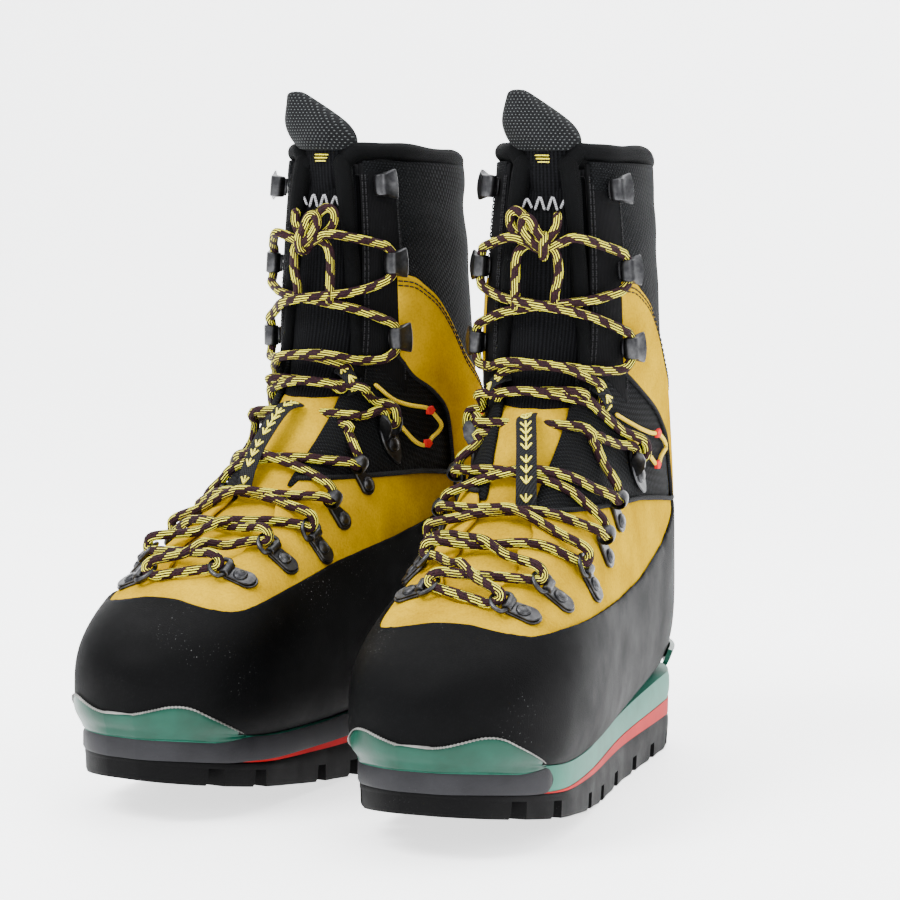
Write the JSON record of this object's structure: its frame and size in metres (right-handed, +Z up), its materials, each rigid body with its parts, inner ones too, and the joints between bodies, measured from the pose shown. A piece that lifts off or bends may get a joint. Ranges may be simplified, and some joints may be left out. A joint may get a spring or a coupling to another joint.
{
  "type": "mountaineering boots",
  "caption": "Pair of insulated leather mountaineering boots with lugged soles, rubber rands, crampon welts, flexing padded cuffs, swivelling lace rings and tied laces.",
  "frame": {"origin": "on the floor, under the middle of the pair's bounding box", "axes": "+Z up, toes towards -Y, the left foot's boot at +X and the right foot's at -X"},
  "size_m": [0.226, 0.3041, 0.301],
  "materials": {
    "outsole_rubber": "matt black lugged rubber",
    "wedge_red": "matt red foam rubber",
    "midsole_green": "satin green polyurethane",
    "lining_black": "black felt",
    "rand_rubber": "matt black, dusty and scuffed",
    "suede_yellow": "yellow suede with a short nap",
    "welt_green": "glossy green moulded plastic",
    "mesh_black": "black technical mesh",
    "lace_yellow": "yellow braided cord with brown-purple flecks",
    "gunmetal": "dark satin metal",
    "stay_black": "smooth black coated strip with steel hooks"
  },
  "bodies": {
    "left_cuff": {"left_cuff_lining": "lining_black", "left_cuff_panel": "suede_yellow", "left_cuff_shell": "mesh_black", "left_lace_stay_inner": "stay_black", "left_lace_stay_outer": "stay_black"},
    "left_foot": {"left_ankle_panel": "mesh_black", "left_foot_lining": "lining_black", "left_footbed": "lining_black", "left_heel_welt": "welt_green", "left_lace": "lace_yellow", "left_midsole": "midsole_green", "left_midsole_wedge": "wedge_red", "left_outsole": "outsole_rubber", "left_rand": "rand_rubber", "left_ring_clip_inner_1": "gunmetal", "left_ring_clip_inner_2": "gunmetal", "left_ring_clip_inner_3": "gunmetal", "left_ring_clip_outer_1": "gunmetal", "left_ring_clip_outer_2": "gunmetal", "left_ring_clip_outer_3": "gunmetal", "left_toe_welt": "welt_green", "left_tongue": "mesh_black", "left_vamp": "suede_yellow"},
    "left_lace_ring_inner_1": {"left_lace_ring_inner_1": "gunmetal"},
    "left_lace_ring_inner_2": {"left_lace_ring_inner_2": "gunmetal"},
    "left_lace_ring_inner_3": {"left_lace_ring_inner_3": "gunmetal"},
    "left_lace_ring_outer_1": {"left_lace_ring_outer_1": "gunmetal"},
    "left_lace_ring_outer_2": {"left_lace_ring_outer_2": "gunmetal"},
    "left_lace_ring_outer_3": {"left_lace_ring_outer_3": "gunmetal"},
    "left_tongue_tip": {"left_tongue_tip": "mesh_black"},
    "right_cuff": {"right_cuff_lining": "lining_black", "right_cuff_panel": "suede_yellow", "right_cuff_shell": "mesh_black", "right_lace_stay_inner": "stay_black", "right_lace_stay_outer": "stay_black"},
    "right_foot": {"right_ankle_panel": "mesh_black", "right_foot_lining": "lining_black", "right_footbed": "lining_black", "right_heel_welt": "welt_green", "right_lace": "lace_yellow", "right_midsole": "midsole_green", "right_midsole_wedge": "wedge_red", "right_outsole": "outsole_rubber", "right_rand": "rand_rubber", "right_ring_clip_inner_1": "gunmetal", "right_ring_clip_inner_2": "gunmetal", "right_ring_clip_inner_3": "gunmetal", "right_ring_clip_outer_1": "gunmetal", "right_ring_clip_outer_2": "gunmetal", "right_ring_clip_outer_3": "gunmetal", "right_toe_welt": "welt_green", "right_tongue": "mesh_black", "right_vamp": "suede_yellow"},
    "right_lace_ring_inner_1": {"right_lace_ring_inner_1": "gunmetal"},
    "right_lace_ring_inner_2": {"right_lace_ring_inner_2": "gunmetal"},
    "right_lace_ring_inner_3": {"right_lace_ring_inner_3": "gunmetal"},
    "right_lace_ring_outer_1": {"right_lace_ring_outer_1": "gunmetal"},
    "right_lace_ring_outer_2": {"right_lace_ring_outer_2": "gunmetal"},
    "right_lace_ring_outer_3": {"right_lace_ring_outer_3": "gunmetal"},
    "right_tongue_tip": {"right_tongue_tip": "mesh_black"}
  },
  "joints": [
    {"name": "left_boot_lift", "type": "slide", "parent": "right_foot", "child": "left_foot", "axis": [0, 0, 1], "range_m": [0, 0.3]},
    {"name": "left_ankle_flex", "type": "hinge", "parent": "left_foot", "child": "left_cuff", "pos_m": [0.04862, 0.07124, 0.131], "axis": [0.9952, 0.0976, 0], "range_deg": [-4, 10], "stiffness_Nm_per_rad": 12, "deforming": ["left_ankle_panel", "left_tongue", "left_lace"]},
    {"name": "left_tongue_fold", "type": "hinge", "parent": "left_cuff", "child": "left_tongue_tip", "pos_m": [0.05448, 0.01153, 0.2625], "axis": [0.9952, 0.0976, 0], "range_deg": [-5, 35], "stiffness_Nm_per_rad": 0.05},
    {"name": "left_ring_swing_outer_1", "type": "hinge", "parent": "left_foot", "child": "left_lace_ring_outer_1", "pos_m": [0.08505, -0.09934, 0.09473], "axis": [0.0041, 0.8895, 0.457], "range_deg": [-3, 30]},
    {"name": "left_ring_swing_outer_2", "type": "hinge", "parent": "left_foot", "child": "left_lace_ring_outer_2", "pos_m": [0.0939, -0.07986, 0.1], "axis": [-0.107, 0.91, 0.4005], "range_deg": [-3, 30]},
    {"name": "left_ring_swing_outer_3", "type": "hinge", "parent": "left_foot", "child": "left_lace_ring_outer_3", "pos_m": [0.09852, -0.04739, 0.10263], "axis": [-0.1601, 0.9337, 0.3202], "range_deg": [-3, 30]},
    {"name": "left_ring_swing_inner_1", "type": "hinge", "parent": "left_foot", "child": "left_lace_ring_inner_1", "pos_m": [0.04603, -0.09587, 0.09874], "axis": [0.0388, -0.8928, -0.4489], "range_deg": [-3, 30]},
    {"name": "left_ring_swing_inner_2", "type": "hinge", "parent": "left_foot", "child": "left_lace_ring_inner_2", "pos_m": [0.03567, -0.07415, 0.1059], "axis": [0.0382, -0.9233, -0.3822], "range_deg": [-3, 30]},
    {"name": "left_ring_swing_inner_3", "type": "hinge", "parent": "left_foot", "child": "left_lace_ring_inner_3", "pos_m": [0.02832, -0.04997, 0.1093], "axis": [0.0235, -0.9139, -0.4053], "range_deg": [-3, 30]},
    {"name": "right_ankle_flex", "type": "hinge", "parent": "right_foot", "child": "right_cuff", "pos_m": [-0.04862, 0.07924, 0.131], "axis": [0.9952, -0.0976, 0], "range_deg": [-4, 10], "stiffness_Nm_per_rad": 12, "deforming": ["right_ankle_panel", "right_tongue", "right_lace"]},
    {"name": "right_tongue_fold", "type": "hinge", "parent": "right_cuff", "child": "right_tongue_tip", "pos_m": [-0.05448, 0.01953, 0.2625], "axis": [0.9952, -0.0976, 0], "range_deg": [-5, 35], "stiffness_Nm_per_rad": 0.05},
    {"name": "right_ring_swing_outer_1", "type": "hinge", "parent": "right_foot", "child": "right_lace_ring_outer_1", "pos_m": [-0.08505, -0.09134, 0.09473], "axis": [0.0041, -0.8895, -0.457], "range_deg": [-3, 30]},
    {"name": "right_ring_swing_outer_2", "type": "hinge", "parent": "right_foot", "child": "right_lace_ring_outer_2", "pos_m": [-0.0939, -0.07186, 0.1], "axis": [-0.107, -0.91, -0.4005], "range_deg": [-3, 30]},
    {"name": "right_ring_swing_outer_3", "type": "hinge", "parent": "right_foot", "child": "right_lace_ring_outer_3", "pos_m": [-0.09852, -0.03939, 0.10263], "axis": [-0.1601, -0.9337, -0.3202], "range_deg": [-3, 30]},
    {"name": "right_ring_swing_inner_1", "type": "hinge", "parent": "right_foot", "child": "right_lace_ring_inner_1", "pos_m": [-0.04603, -0.08787, 0.09874], "axis": [0.0388, 0.8928, 0.4489], "range_deg": [-3, 30]},
    {"name": "right_ring_swing_inner_2", "type": "hinge", "parent": "right_foot", "child": "right_lace_ring_inner_2", "pos_m": [-0.03567, -0.06615, 0.1059], "axis": [0.0382, 0.9233, 0.3822], "range_deg": [-3, 30]},
    {"name": "right_ring_swing_inner_3", "type": "hinge", "parent": "right_foot", "child": "right_lace_ring_inner_3", "pos_m": [-0.02832, -0.04197, 0.1093], "axis": [0.0235, 0.9139, 0.4053], "range_deg": [-3, 30]}
  ]
}
